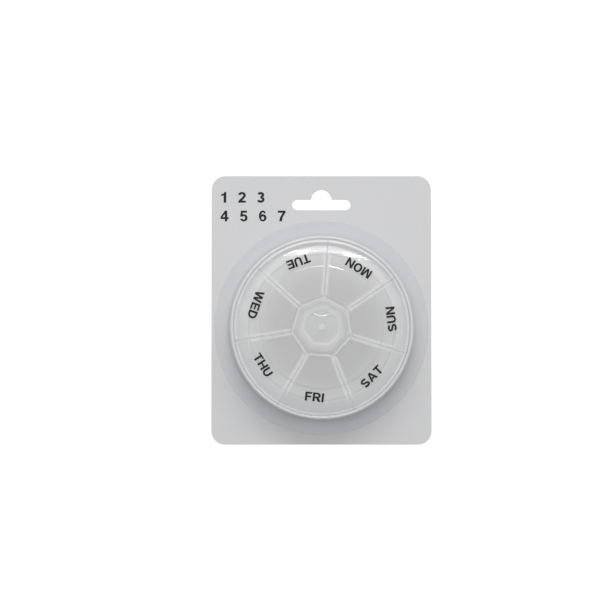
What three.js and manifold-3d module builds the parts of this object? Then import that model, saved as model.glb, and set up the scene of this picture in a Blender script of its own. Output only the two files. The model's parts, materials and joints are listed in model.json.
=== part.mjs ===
// A round weekly pill box with seven hinged lids, standing in a clear open-fronted tray that is
// sealed to a hanging card. Lengths are in millimetres. The card lies flat: +Z points out of its
// front, +Y points to the edge with the hanging slot, and the origin is in the middle of its back.
import * as THREE from 'three';
import { mergeVertices } from 'three/addons/utils/BufferGeometryUtils.js';
import Module from 'manifold-3d';

const wasm = await Module();
wasm.setup();

// Backing card, with margins beside and below the tray's flange and room for a header above it
const cardSideMargin = 1.55;
const cardFootMargin = 4.85;
const cardHeader = 23.25;
const cardThickness = 0.8;
const cardCornerRadius = 7;

// Hanging slot: a band with round ends and a hump in the middle of its upper edge
const slotWidth = 30;
const slotBandHeight = 5.5;
const slotHumpRadius = 5.3;
const slotHumpSink = 0.3;
const slotLowerEdgeDrop = 17.5;

// Clear tray: a flange on the card, a wall that leans in, and an open front
const trayFlangeWidth = 7.3;
const trayLean = 1.5;
const trayRimGap = 1.15;
const traySheet = 0.45;
const trayFootFillet = 1.2;
const trayStand = 0.5;

// Clearances
const seatGap = 0.3;
const lidGap = 0.3;
const tabGap = 0.3;
const webGap = 0.3;
const plugGap = 0.3;

// Pill box as a whole
const dayNames = ['fri', 'sat', 'sun', 'mon', 'tue', 'wed', 'thu'];
const boxRadius = 44.3;
const boxTurn = THREE.MathUtils.degToRad(-4.2);

// Base: floor, outer wall, hub wall and dividers in one moulding
const dividerHeight = 17;
const wallHeight = 12.6;
const wallThickness = 1.4;
const wallDraft = 0.8;
const wallSetback = 0.3;
const dividerThickness = 1.2;
const floorThickness = 1.3;
const footEdge = 1.4;
const footHollowDepth = 0.5;
const footHollowInset = 5;
const hubWallApothem = 13.6;
const hubWallThickness = 1.4;
const pocketCornerRadius = 2.4;
const pocketFloorRound = 1.6;

// Lids: a flat plate with a sloping shoulder, two ribs below and a thumb tab
const lidThickness = 1;
const lidInnerApothem = 14.3;
const lidEdgeInset = 0.35;
const shoulderRun = 7.3;
const shoulderDrop = 3.2;
const rimRound = 1;
const stepRadius = 30.4;
const stepRise = 0.35;
const stepRun = 0.8;
const ribThickness = 0.9;
const ribDepth = 1.5;
const ribInnerSetback = 1.6;
const ribEndRoom = 0.6;
const tabWidth = 9;
const tabDrop = 1.8;
const tabThickness = 0.9;
const tabSideRoom = 0.6;
const nailRoom = 1.4;

// Hub plate: the heptagonal middle of the lid moulding, with a plug that fits the hub wall
const hubEdgeApothem = 13.1;
const hubRise = 0.6;
const hubTopSetback = 0.4;
const hubTopSlope = 0.6;
const recessApothem = 8.4;
const recessSlope = 0.6;
const domeRadius = 6.2;
const domeRise = 0.35;
const pipRadius = 0.8;
const pipRise = 0.25;
const plugLength = 4.2;
const plugThickness = 1.2;

// Hinge webs: the thin strips between hub plate and lids
const webThickness = 0.35;
const webLength = 11.4;

// How finely round shapes are divided, and how far every cut runs past the solid
const roundSteps = 84;
const pocketArcSteps = 9;
const cornerSteps = 3;
const filletSteps = 3;
const domeSteps = 3;
const overrun = 1;

// Places that follow from the sizes
const dayCount = dayNames.length;
const sector = (2 * Math.PI) / dayCount;
const halfSector = sector / 2;
const lidUnder = dividerHeight + lidGap;
const lidTop = lidUnder + lidThickness;
const plateauTop = lidTop + stepRise;
const hubTop = plateauTop + hubRise;
const skirtBottom = wallHeight + lidGap;
const shoulderFall = Math.atan2(shoulderDrop, shoulderRun);
const wallOuterRadius = boxRadius - wallSetback;
const wallInnerRadius = wallOuterRadius - wallThickness;
const boxBottom = cardThickness + seatGap;
const trayRimHeight = boxBottom + hubTop + trayStand;
const trayRimRadius = boxRadius + trayRimGap + traySheet;
const trayFootRadius = trayRimRadius + trayLean;
const trayFlangeRadius = trayFootRadius + trayFlangeWidth;
const trayDrop = (cardHeader - cardFootMargin) / 2;
const cardWidth = 2 * (trayFlangeRadius + cardSideMargin);
const cardHeight = 2 * trayFlangeRadius + cardHeader + cardFootMargin;

// A closed three.js geometry as a solid for cutting and joining
function solidOf(geometry) {
  geometry.deleteAttribute('normal');
  geometry.deleteAttribute('uv');
  const merged = mergeVertices(geometry);
  const corners = merged.index.array;
  const kept = [];
  for (let i = 0; i < corners.length; i += 3) {
    const [a, b, c] = corners.slice(i, i + 3);
    if (a !== b && b !== c && c !== a) kept.push(a, b, c);
  }
  return new wasm.Manifold(new wasm.Mesh({
    numProp: 3,
    vertProperties: merged.attributes.position.array,
    triVerts: new Uint32Array(kept),
  }));
}

function geometryOf(solid) {
  const { vertProperties, triVerts } = solid.getMesh();
  const geometry = new THREE.BufferGeometry();
  geometry.setAttribute('position', new THREE.BufferAttribute(vertProperties, 3));
  geometry.setIndex(new THREE.BufferAttribute(triVerts, 1));
  geometry.computeVertexNormals();
  return geometry;
}

// A profile of [radius, height] pairs turned about the Z axis, counterclockwise pairs facing out
function turned(profile) {
  const points = profile.map(([radius, height]) => new THREE.Vector2(radius, height));
  const lathe = new THREE.LatheGeometry(points, roundSteps);
  return lathe.rotateX(Math.PI / 2);
}

// A flat outline pushed up from one height to another
function prism(outline, low, high) {
  const depth = high - low;
  const geometry = new THREE.ExtrudeGeometry(outline, { depth, bevelEnabled: false });
  return geometry.translate(0, 0, low);
}

// A heptagonal block with a flat side towards each lid, apothems given at its two heights
function heptagon(lowApothem, highApothem, low, high) {
  const toCorner = 1 / Math.cos(halfSector);
  const block = new THREE.CylinderGeometry(
    highApothem * toCorner, lowApothem * toCorner, high - low, dayCount);
  block.rotateX(Math.PI / 2);
  block.rotateZ(Math.PI / 2 + halfSector);
  return block.translate(0, 0, (low + high) / 2);
}

// Points of an arc about a centre, both ends included
function arc(centreX, centreY, radiusX, radiusY, from, to, steps) {
  return Array.from({ length: steps + 1 }, (_, i) => {
    const angle = from + ((to - from) * i) / steps;
    return [centreX + radiusX * Math.cos(angle), centreY + radiusY * Math.sin(angle)];
  });
}

function shapeOf(points) {
  return new THREE.Shape(points.map(([x, y]) => new THREE.Vector2(x, y)));
}

// Outline of one sector along +X: a flat inner side, two sides that keep an inset from the
// planes between the sectors, and a round outer side, its corners rounded where a radius is given
function sectorOutline(innerApothem, inset, outerRadius, cornerRadius = 0) {
  const onSide = (along) => [
    along * Math.cos(halfSector) + inset * Math.sin(halfSector),
    along * Math.sin(halfSector) - inset * Math.cos(halfSector),
  ];
  const innerAlong = (innerApothem - inset * Math.sin(halfSector)) / Math.cos(halfSector);
  const outerAlong = Math.sqrt(outerRadius ** 2 - inset ** 2);
  const outerAngle = halfSector - Math.asin(inset / outerRadius);
  const trimAngle = cornerRadius / outerRadius;
  const innerCorner = onSide(innerAlong);
  const upper = [
    ...roundCorner(
      [outerRadius * Math.cos(outerAngle - trimAngle), outerRadius * Math.sin(outerAngle - trimAngle)],
      onSide(outerAlong),
      onSide(outerAlong - cornerRadius), cornerRadius),
    ...roundCorner(
      onSide(innerAlong + cornerRadius), innerCorner,
      [innerCorner[0], innerCorner[1] - cornerRadius], cornerRadius),
  ];
  const lower = upper.map(([x, y]) => [x, -y]).reverse();
  const outer = arc(0, 0, outerRadius, outerRadius, trimAngle - outerAngle, outerAngle - trimAngle,
    pocketArcSteps).slice(1, -1);
  return shapeOf([...lower, ...outer, ...upper]);
}

// A corner as one point, or as a short curve from start to end when it has a radius
function roundCorner(start, corner, end, radius) {
  if (!radius) return [corner];
  const curve = new THREE.QuadraticBezierCurve(
    new THREE.Vector2(...start), new THREE.Vector2(...corner), new THREE.Vector2(...end));
  return curve.getPoints(cornerSteps).map(({ x, y }) => [x, y]);
}

// Card outline with round corners, and the slot as a hole in it
function cardGeometry() {
  const halfWidth = cardWidth / 2;
  const halfHeight = cardHeight / 2;
  const straightX = halfWidth - cardCornerRadius;
  const straightY = halfHeight - cardCornerRadius;
  const outline = new THREE.Shape();
  outline.absarc(straightX, straightY, cardCornerRadius, 0, Math.PI / 2);
  outline.absarc(-straightX, straightY, cardCornerRadius, Math.PI / 2, Math.PI);
  outline.absarc(-straightX, -straightY, cardCornerRadius, Math.PI, Math.PI * 1.5);
  outline.absarc(straightX, -straightY, cardCornerRadius, Math.PI * 1.5, Math.PI * 2);
  outline.closePath();
  outline.holes.push(slotPath(halfHeight - slotLowerEdgeDrop));
  return new THREE.ExtrudeGeometry(outline, { depth: cardThickness, bevelEnabled: false });
}

function slotPath(lowerEdge) {
  const endRadius = slotBandHeight / 2;
  const middle = lowerEdge + endRadius;
  const endX = slotWidth / 2 - endRadius;
  const bandTop = lowerEdge + slotBandHeight;
  const humpCentre = bandTop - slotHumpSink;
  const humpStart = Math.asin(slotHumpSink / slotHumpRadius);
  const path = new THREE.Path();
  path.absarc(endX, middle, endRadius, -Math.PI / 2, Math.PI / 2);
  path.absarc(0, humpCentre, slotHumpRadius, humpStart, Math.PI - humpStart);
  path.absarc(-endX, middle, endRadius, Math.PI / 2, Math.PI * 1.5);
  path.closePath();
  return path;
}

// Tray sheet as a closed profile: out along the flange, up the wall and back inside it
function trayGeometry() {
  const bottom = cardThickness;
  const lean = (trayFootRadius - trayRimRadius) / (trayRimHeight - bottom);
  const outerAt = (height) => trayFootRadius - lean * (height - bottom);
  const filletCentre = bottom + traySheet + trayFootFillet;
  const outerFillet = arc(outerAt(filletCentre) + trayFootFillet, filletCentre,
    trayFootFillet, trayFootFillet, Math.PI * 1.5, Math.PI, filletSteps);
  const innerRadius = trayFootFillet + traySheet;
  const innerFillet = arc(outerAt(filletCentre) + trayFootFillet, filletCentre,
    innerRadius, innerRadius, Math.PI, Math.PI * 1.5, filletSteps);
  return turned([
    [trayFlangeRadius, bottom],
    [trayFlangeRadius, bottom + traySheet],
    ...outerFillet,
    [trayRimRadius, trayRimHeight],
    [trayRimRadius - traySheet, trayRimHeight],
    ...innerFillet,
    [trayFlangeRadius, bottom],
  ]);
}

// The lids' outer side from the skirt over the rim to the flat top, drawn in by an inset
function shoulder(inset) {
  const side = boxRadius - inset;
  const start = boxRadius - shoulderRun - inset * Math.tan(shoulderFall / 2);
  const rimHeight = lidTop - inset - (side - start) * Math.tan(shoulderFall);
  const round = Math.max(rimRound - inset, 0);
  const upSlope = [side - round * Math.cos(shoulderFall), rimHeight + round * Math.sin(shoulderFall)];
  const rim = roundCorner([side, rimHeight - round], [side, rimHeight], upSlope, round);
  return [...rim, [start, lidTop - inset]];
}

// Outer form of the base before the pockets are cut, from the axis round to the axis
function baseBlock() {
  const footRadius = wallOuterRadius - wallDraft;
  const hollowRadius = footRadius - footHollowInset;
  const dividerInset = lidThickness + lidGap;
  return turned([
    [0, footHollowDepth],
    [hollowRadius - footHollowDepth, footHollowDepth],
    [hollowRadius, 0],
    [footRadius - footEdge, 0],
    [footRadius, footEdge],
    [wallOuterRadius, wallHeight],
    [boxRadius - dividerInset, wallHeight],
    ...shoulder(dividerInset),
    [0, dividerHeight],
  ]);
}

// One pocket, with its floor edge rounded, to be cut out of the base
function pocketCutter() {
  const outline = sectorOutline(
    hubWallApothem, dividerThickness / 2, wallInnerRadius, pocketCornerRadius);
  const low = footHollowDepth + floorThickness;
  const cutter = new THREE.ExtrudeGeometry(outline, {
    depth: dividerHeight + overrun - low,
    bevelSize: pocketFloorRound,
    bevelThickness: pocketFloorRound,
    bevelOffset: -pocketFloorRound,
    bevelSegments: filletSteps,
  });
  return cutter.translate(0, 0, low + pocketFloorRound);
}

// A ring between two radii and two heights, kept only over a width across +X
function ringPiece(inner, outer, low, high, width) {
  const ring = solidOf(turned([[inner, low], [outer, low], [outer, high], [inner, high], [inner, low]]));
  const slab = new THREE.BoxGeometry(outer + overrun, width, high - low + 2 * overrun);
  slab.translate((outer + overrun) / 2, 0, (low + high) / 2);
  return ring.intersect(solidOf(slab));
}

function baseGeometry() {
  const pocket = solidOf(pocketCutter());
  const tabBottom = skirtBottom - tabDrop;
  const tabRecess = ringPiece(boxRadius - tabThickness - tabGap, boxRadius + overrun,
    tabBottom - nailRoom, wallHeight + overrun, tabWidth + 2 * tabSideRoom);
  const wellApothem = hubWallApothem - hubWallThickness;
  const well = solidOf(heptagon(wellApothem, wellApothem,
    footHollowDepth + floorThickness, dividerHeight + overrun));
  let base = solidOf(baseBlock()).subtract(well);
  for (let day = 0; day < dayCount; day += 1) {
    const turn = THREE.MathUtils.radToDeg(day * sector);
    base = base.subtract(pocket.rotate(0, 0, turn));
    base = base.subtract(tabRecess.rotate(0, 0, turn));
  }
  return geometryOf(base);
}

// Lid plate and shoulder as a closed profile: under the plate, round the skirt and back on top
function lidShell() {
  const innerRadius = lidInnerApothem - overrun;
  return turned([
    [innerRadius, lidUnder],
    ...shoulder(lidThickness).reverse(),
    [boxRadius - lidThickness, skirtBottom],
    [boxRadius, skirtBottom],
    ...shoulder(0),
    [stepRadius + stepRun, lidTop],
    [stepRadius, plateauTop],
    [innerRadius, plateauTop],
    [innerRadius, lidUnder],
  ]);
}

// One rib below the lid, along the side towards the next sector, that follows plate and shoulder
function lidRib() {
  const inset = dividerThickness / 2 + lidGap + ribThickness / 2;
  const start = (lidInnerApothem + ribInnerSetback) / Math.cos(halfSector);
  const rootInset = lidThickness / 2;
  const edgeInset = lidThickness + ribDepth;
  const ring = turned([
    [lidInnerApothem, lidTop - edgeInset],
    ...shoulder(edgeInset).reverse(),
    ...shoulder(rootInset),
    [lidInnerApothem, lidTop - rootInset],
    [lidInnerApothem, lidTop - edgeInset],
  ]);
  const end = wallInnerRadius - pocketCornerRadius - ribEndRoom;
  const strip = new THREE.BoxGeometry(end - start, ribThickness, plateauTop);
  strip.translate((start + end) / 2, -inset, plateauTop / 2);
  return solidOf(ring).intersect(solidOf(strip.rotateZ(halfSector)));
}

function lidGeometry() {
  const outline = sectorOutline(lidInnerApothem, lidEdgeInset, boxRadius + overrun);
  const wedge = solidOf(prism(outline, skirtBottom - overrun, plateauTop + overrun));
  const rib = lidRib();
  const tab = ringPiece(boxRadius - tabThickness, boxRadius,
    skirtBottom - tabDrop, skirtBottom + lidThickness, tabWidth);
  const lid = solidOf(lidShell()).intersect(wedge);
  return geometryOf(lid.add(rib).add(rib.mirror([0, 1, 0])).add(tab));
}

// Low dome with a pip on it, in the middle of the hub plate's recess
function hubDome() {
  const bottom = plateauTop - hubRise;
  const dome = arc(0, plateauTop, domeRadius, domeRise, 0, Math.PI / 2, domeSteps)
    .filter(([radius]) => radius > pipRadius);
  return turned([[0, bottom], [domeRadius, bottom], ...dome,
    [pipRadius, plateauTop + domeRise],
    [0, plateauTop + domeRise + pipRise]]);
}

function hubGeometry() {
  const topApothem = hubEdgeApothem - hubTopSetback;
  const plugApothem = hubWallApothem - hubWallThickness - plugGap;
  const plugBottom = lidUnder - plugLength;
  const plugInner = plugApothem - plugThickness;
  const plate = solidOf(heptagon(hubEdgeApothem, hubEdgeApothem, lidUnder, plateauTop));
  const top = solidOf(heptagon(topApothem + hubTopSlope, topApothem - hubTopSlope,
    plateauTop - hubRise, hubTop));
  const recess = solidOf(heptagon(recessApothem - recessSlope, recessApothem + recessSlope,
    plateauTop, hubTop + hubRise));
  const plug = solidOf(heptagon(plugApothem, plugApothem, plugBottom, plateauTop))
    .subtract(solidOf(heptagon(plugInner, plugInner, plugBottom - overrun, lidUnder)));
  return geometryOf(plate.add(top).subtract(recess).add(plug).add(solidOf(hubDome())));
}

// The web fills the space between hub plate and lid but for its clearance, level with their tops
function webGeometry() {
  const inner = hubEdgeApothem + webGap;
  const outer = lidInnerApothem - webGap;
  const web = new THREE.BoxGeometry(outer - inner, webLength, webThickness);
  return web.translate((inner + outer) / 2, 0, plateauTop - webThickness / 2);
}

// Materials
const board = { color: 0xd2d2d2, roughness: 0.75, metalness: 0 };
const clear = { color: 0xf0f4f6, roughness: 0.08, metalness: 0, transparent: true, opacity: 0.3 };
const frosted = { color: 0xe6e7e8, roughness: 0.42, metalness: 0, transparent: true, opacity: 0.75 };

function named(name, geometry, finish) {
  const mesh = new THREE.Mesh(geometry, new THREE.MeshStandardMaterial(finish));
  mesh.name = name;
  return mesh;
}

// Assembly
const packet = new THREE.Group();
packet.add(named('backing_card', cardGeometry(), board));
const tray = named('clear_tray', trayGeometry(), clear);
tray.position.y = -trayDrop;
packet.add(tray);

const box = new THREE.Group();
box.position.set(0, -trayDrop, boxBottom);
box.rotation.z = boxTurn - Math.PI / 2;
box.add(named('compartment_base', baseGeometry(), frosted));
box.add(named('hub_plate', hubGeometry(), frosted));
dayNames.forEach((day, index) => {
  const lid = named(`lid_${day}`, lidGeometry(), frosted);
  const web = named(`hinge_web_${day}`, webGeometry(), frosted);
  lid.rotation.z = index * sector;
  web.rotation.z = index * sector;
  box.add(lid, web);
});
packet.add(box);

export default packet;
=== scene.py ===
"""Looks for a round weekly pill box that stands in a clear tray on a hanging card.

Lengths are in metres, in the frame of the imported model: the card lies flat on z = 0, +Z points out
of its front and +Y to the edge with the hanging slot. The pieces take their places from the frame.
"""
import json
import math

import bmesh
import bpy
from mathutils import Matrix, Vector


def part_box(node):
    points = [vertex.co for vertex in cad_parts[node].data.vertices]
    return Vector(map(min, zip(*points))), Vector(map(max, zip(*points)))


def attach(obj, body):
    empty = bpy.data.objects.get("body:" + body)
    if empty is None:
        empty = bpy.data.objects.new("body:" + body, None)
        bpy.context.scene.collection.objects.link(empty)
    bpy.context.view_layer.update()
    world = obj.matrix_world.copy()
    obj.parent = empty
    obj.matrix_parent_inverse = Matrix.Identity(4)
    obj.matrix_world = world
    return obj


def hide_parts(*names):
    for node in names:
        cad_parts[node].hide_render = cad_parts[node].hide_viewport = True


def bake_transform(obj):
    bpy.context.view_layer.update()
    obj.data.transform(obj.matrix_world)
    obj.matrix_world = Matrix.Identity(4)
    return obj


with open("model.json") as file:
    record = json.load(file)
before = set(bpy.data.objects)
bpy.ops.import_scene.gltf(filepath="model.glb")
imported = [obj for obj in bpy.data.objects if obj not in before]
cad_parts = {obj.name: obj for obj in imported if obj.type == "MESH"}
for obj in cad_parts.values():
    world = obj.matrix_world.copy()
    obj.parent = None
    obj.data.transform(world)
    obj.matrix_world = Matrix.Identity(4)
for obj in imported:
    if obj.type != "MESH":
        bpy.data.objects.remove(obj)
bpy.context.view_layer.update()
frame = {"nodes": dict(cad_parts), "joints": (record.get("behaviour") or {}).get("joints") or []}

MM = 0.001

# Places read from the frame
BASE_LOW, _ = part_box("compartment_base")
TRAY_LOW, TRAY_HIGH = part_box("clear_tray")
CARD_LOW, CARD_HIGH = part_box("backing_card")
HUB_LOW, HUB_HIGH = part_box("hub_plate")
LID_LOW, LID_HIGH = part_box("lid_fri")
WEB_LOW, WEB_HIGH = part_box("hinge_web_fri")
AXIS = (TRAY_LOW + TRAY_HIGH) / 2
HINGES = {
    joint["child"]: Vector(joint["pos_m"])
    for joint in frame["joints"]
    if joint["child"].startswith("lid_")
}
DAYS = [name.removeprefix("lid_") for name in HINGES]
SECTOR = 2 * math.pi / len(DAYS)
HALF_SECTOR = SECTOR / 2

# Meshes
WELD_DISTANCE = 0.0005 * MM
CORNER_STEPS = 4

# Card
CARD_THICKNESS = CARD_HIGH.z - CARD_LOW.z
CARD_CORNER_RADIUS = 7 * MM
CARD_EDGE_ROUND = 0.12 * MM
SLOT_WIDTH = 30 * MM
SLOT_BAND_HEIGHT = 5.5 * MM
SLOT_HUMP_RADIUS = 5.3 * MM
SLOT_HUMP_SINK = 0.3 * MM
SLOT_HUMP_FILLET = 0.9 * MM
SLOT_LOWER_EDGE_DROP = 17.5 * MM
CARD_ARC_STEPS = 14
SLOT_HUMP_STEPS = 20

# Tray
TRAY_SHEET = 0.45 * MM
TRAY_FLANGE_WIDTH = 7.3 * MM
TRAY_LEAN = 1.5 * MM
TRAY_FOOT_FILLET = 1.2 * MM
TRAY_EDGE_ROUND = 0.18 * MM
TRAY_BEAD_RADIUS = 0.9 * MM
TRAY_BEAD_TURN_DEG = 283
TRAY_BEAD_PAINTED_LIGHT_ZONE = 2.2 * TRAY_BEAD_RADIUS  # counted down from the rim
TRAY_LIFT = 0.02 * MM
TRAY_TURN_STEPS = 256
TRAY_BEAD_STEPS = 22
TRAY_FILLET_STEPS = 8

# Lids
BOX_RADIUS = 44.3 * MM
LID_THICKNESS = 1 * MM
LID_INNER_APOTHEM = 14.3 * MM
LID_EDGE_INSET = 0.06 * MM
LID_EDGE_ROUND = 0.18 * MM
CORNER_RELIEF = 0.22 * MM
CORNER_RELIEF_START = 16 * MM
CORNER_RELIEF_END = 20 * MM
# Width along a lid's sides that is painted lighter, painted light
LID_PAINTED_LIGHT_BORDER = 1.1 * MM
STEP_RADIUS = 30.4 * MM
STEP_RISE = 0.35 * MM
STEP_HEIGHT = 0.2 * MM
STEP_RUN = 0.655 * MM
STEP_ROUND_SHARE = 0.23
EASE_START = 22 * MM
EASE_END = 36 * MM
SHOULDER_RUN = 7.3 * MM
SHOULDER_DROP = 3.2 * MM
SHOULDER_CROWN = 0.14
SHOULDER_BLEND = 1.3 * MM
RIM_ROUND = 1 * MM
TAB_WIDTH = 9 * MM
TAB_DROP = 1.8 * MM
TAB_CORNER = 1.2 * MM
TAB_ZONE = 1.5 * LID_EDGE_ROUND  # counted up from the skirt's lower edge
FLUTES_PER_LID = 14
FLUTE_DEPTH = 0.035 * MM
FLUTE_RADII = (37.2 * MM, 39 * MM, 41.8 * MM)
BOWED_RADIUS = 0.8 * STEP_RADIUS  # the rows are full arcs from here on
PARTITION_THICKNESS = 1.2 * MM
RIB_THICKNESS = 0.9 * MM
RIB_DEPTH = 1.5 * MM
RIB_ROOT = 0.4 * MM
RIB_FILLET = 0.27 * MM
RIB_GAP = 0.3 * MM
RIB_INNER_SETBACK = 1.6 * MM
RIB_OUTER_SETBACK = 4.7 * MM
RIB_END_SHARE = 0.35

# Rows and columns of the lids' meshes
HINGE_EDGE_ROWS = 4
PLATE_ROW_SHARES = (0.06, 0.14, 0.25, 0.4, 0.6, 0.8, 0.97)
STEP_ROWS = 10
OUTER_PLATE_ROWS = 7
BLEND_ROWS = 12
SHOULDER_ROW_SHARES = (0.28, 0.42, 0.56, 0.7, 0.82)
RIM_ROWS = 6
EDGE_ROWS = 3
LID_COLUMNS = 6 * FLUTES_PER_LID
RIB_ROWS = 40
RIB_END_ROWS = 3

# Heights and slopes of the lids that follow
PLATEAU_TOP = LID_HIGH.z
FLAT_TOP = PLATEAU_TOP - STEP_RISE
LID_UNDER = FLAT_TOP - LID_THICKNESS
SHOULDER_FALL = math.atan2(SHOULDER_DROP, SHOULDER_RUN)
SHOULDER_RADIUS = BOX_RADIUS - SHOULDER_RUN
UNDER_TURN = SHOULDER_RADIUS - LID_THICKNESS * math.tan(SHOULDER_FALL / 2)
SKIRT_INSIDE = BOX_RADIUS - LID_THICKNESS
RIM_HEIGHT = FLAT_TOP - SHOULDER_DROP
SKIRT_BOTTOM = LID_LOW.z + TAB_DROP

# Hub plate
HUB_EDGE_APOTHEM = 13.1 * MM
HUB_EDGE_DROP = 0.24 * MM
HUB_EDGE_ROUND = 0.3 * MM
HUB_SLOPE = 0.6 * MM
HUB_TOP_APOTHEM = 12.7 * MM
HUB_CORNER_RADIUS = 1.2 * MM
HUB_COLUMNS_PER_SIDE = 12
RECESS_APOTHEM = 8 * MM
RECESS_SLOPE = 0.5 * MM
RECESS_DEPTH = 0.3 * MM
DOME_RADIUS = 6.2 * MM
DOME_RISE = 0.1 * MM
DOME_FOOT_RADIUS = 6.4 * MM
DOME_EDGE = 0.5 * MM
PIP_RADIUS = 1.8 * MM
PIP_FOOT = 0.08 * MM
PIP_CROWN = 0.32 * MM
PIP_ARC = (88, 20, 5)  # from and to in degrees, steps
DOME_ARC = (82, 8, 9)
# The recess's edge is painted lighter between these levels, painted light
RECESS_EDGE_PAINTED_LIGHT_LEVELS = (0.1, 0.9)  # shares of the recess's depth above its floor
CRESCENT_PLACE = 5.8 * MM
CRESCENT_RADIUS = 7 * MM
CRESCENT_TURN = math.radians(36)
CRESCENT_SLOPES_DEG = (25, 24.3, 23.7, 23.1, 22.4)
CRESCENT_FACE = 0.8 * MM
CRESCENT_BACK = 0.35 * MM
CRESCENT_ROOT = 0.06 * MM
CRESCENT_END_SHARE = 0.1
CRESCENT_STEPS = 32
PLUG_APOTHEM = 11.9 * MM
PLUG_THICKNESS = 1.2 * MM

# Hinge webs
WEB_WIDTH = 11.4 * MM
WEB_OVERLAP = 0.06 * MM
WEB_GROOVE = 0.12 * MM
WEB_UNDER_GROOVE_SHARE = 0.25
WEB_THICKNESS = WEB_HIGH.z - WEB_LOW.z
WEB_ROWS = 12
WEB_COLUMNS = 24

# Base
# Height above the base's bottom within which the pocket floors are painted darker, painted shade
BASE_PAINTED_SHADE_ZONE = 4 * MM
BASE_WELD = 0.002 * MM
BASE_FLAT_DEG = 1
BASE_BEVEL = 0.22 * MM
BASE_BEVEL_DEG = 38

# Marks
INK_THICKNESS = 0.04 * MM
INK_SINK = 0.01 * MM
INK_GRID = 0.6 * MM
MARK_CAP_HEIGHT = 4.5 * MM
MARK_BASELINE = 37.2 * MM
MARK_TURN = math.radians(-1.9)
CARD_MARK_CAP_HEIGHT = 5.5 * MM
CARD_MARK_LEFT = -51.7 * MM
CARD_MARK_BASELINES = (55.1 * MM, 45.5 * MM)
CARD_MARK_ROWS = ("1 2 3", "4 5 6 7")
CARD_MARK_SPACE = 0.95

# Noise scales per metre, and grain, of the lids' plastic
CLOUD_SCALE = 130
GLOSS_SCALE = 420
GRAIN_SCALE = 1800
FINE_GRAIN = 0.004 * MM
LID_GRAIN = 0.012 * MM
SATIN_GRAIN = 0.02 * MM
# The lids are painted lighter from the first radius to the second: painted light and shade
LID_SHADE_RADII = (21 * MM, 39 * MM)

# Stage. A softbox has a name, a direction from the box, a distance and a size in metres, and watts
SOFTBOXES = (
    ("overhead", (-0.03, 0.04, 1), 2.2, (1.3, 0.8), 9),
    ("upper", (-0.03, 0.15, 1), 2.2, (1.2, 0.36), 7),
    ("key", (-0.03, 1, 0.95), 2, (1.2, 0.5), 7.6),
    ("strip", (0.06, 1, 0.9), 1.5, (1.9, 0.025), 8),
)
WORLD_COLOUR = (0.97, 0.98, 1, 1)
WORLD_STRENGTH = 0.34
WHITE = (1, 1, 1, 1)
FLOOR_HALF_WIDTH = 3.0
FLOOR_DROP = 0.05 * MM
FLOOR_COLOUR = (0.82, 0.82, 0.82, 1)
FLOOR_GLOW = 1.15
FLOOR_GLOW_SHARE = 0.75

# Camera, fitted to the card's corners and the tray's circles in the photograph
IMAGE_PIXELS = 600
FOCAL_PIXELS = 1561
SENSOR_WIDTH_MM = 36
CAMERA_PLACE = Vector((-10.95 * MM, -21.4 * MM, 800 * MM))
CAMERA_PITCH = math.radians(1.9)


def smoothstep(share):
    """0 to 1 with flat ends, from a share that may lie outside 0 to 1."""
    share = min(max(share, 0.0), 1.0)
    return share * share * (3 - 2 * share)


def even_step(share, round_share):
    """0 to 1, evenly between two short rounded ends, from a share that may lie outside 0 to 1."""
    share = min(max(share, 0.0), 1.0)
    from_end = min(share, 1 - share)
    if from_end < round_share:
        rise = from_end ** 2 / (2 * round_share * (1 - round_share))
    else:
        rise = (from_end - round_share / 2) / (1 - round_share)
    return rise if share < 0.5 else 1 - rise


def lerp(start, end, share):
    """The point a share of the way from start to end, for tuples of numbers."""
    return tuple(a + (b - a) * share for a, b in zip(start, end))


def spaced(start, run, steps):
    """Values at even steps over a run, both ends included."""
    return [start + run * k / steps for k in range(steps + 1)]


def polar(radius, angle, height, centre=(0, 0)):
    """The point at a radius, an angle and a height about an upright line through a centre."""
    return (centre[0] + radius * math.cos(angle), centre[1] + radius * math.sin(angle), height)


def arc(centre, radii, start_deg, end_deg, steps):
    """Points of an elliptic arc about a centre, both ends included."""
    points = []
    for degrees in spaced(start_deg, end_deg - start_deg, steps):
        angle = math.radians(degrees)
        x = centre[0] + radii[0] * math.cos(angle)
        y = centre[1] + radii[1] * math.sin(angle)
        points.append((x, y))
    return points


def circle_arc(centre, radius, start_deg, end_deg, steps):
    """Points of a circular arc about a centre, both ends included."""
    return arc(centre, (radius, radius), start_deg, end_deg, steps)


def rounded(points, radius):
    """The polyline with a short curve at each inner corner, from a radius before to one after."""
    result = [points[0]]
    for before, corner, after in zip(points, points[1:], points[2:]):
        here = Vector(corner)
        back = Vector(before) - here
        ahead = Vector(after) - here
        start = here + back.normalized() * min(radius, back.length / 2)
        end = here + ahead.normalized() * min(radius, ahead.length / 2)
        for share in spaced(0, 1, CORNER_STEPS):
            curve = start * (1 - share) ** 2 + here * 2 * share * (1 - share) + end * share ** 2
            result.append(tuple(curve))
    return result + [points[-1]]


# Materials

def new_material(name, colour, roughness, alpha=1.0, ior=1.5, gloss=0.5):
    """A Principled material with its constant values on the shader's own sockets."""
    material = bpy.data.materials.new(name)
    material.use_nodes = True
    shader = material.node_tree.nodes["Principled BSDF"]
    shader.inputs["Base Color"].default_value = (*colour, 1)
    shader.inputs["Roughness"].default_value = roughness
    shader.inputs["Alpha"].default_value = alpha
    shader.inputs["IOR"].default_value = ior
    shader.inputs["Specular IOR Level"].default_value = gloss
    return material


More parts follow.
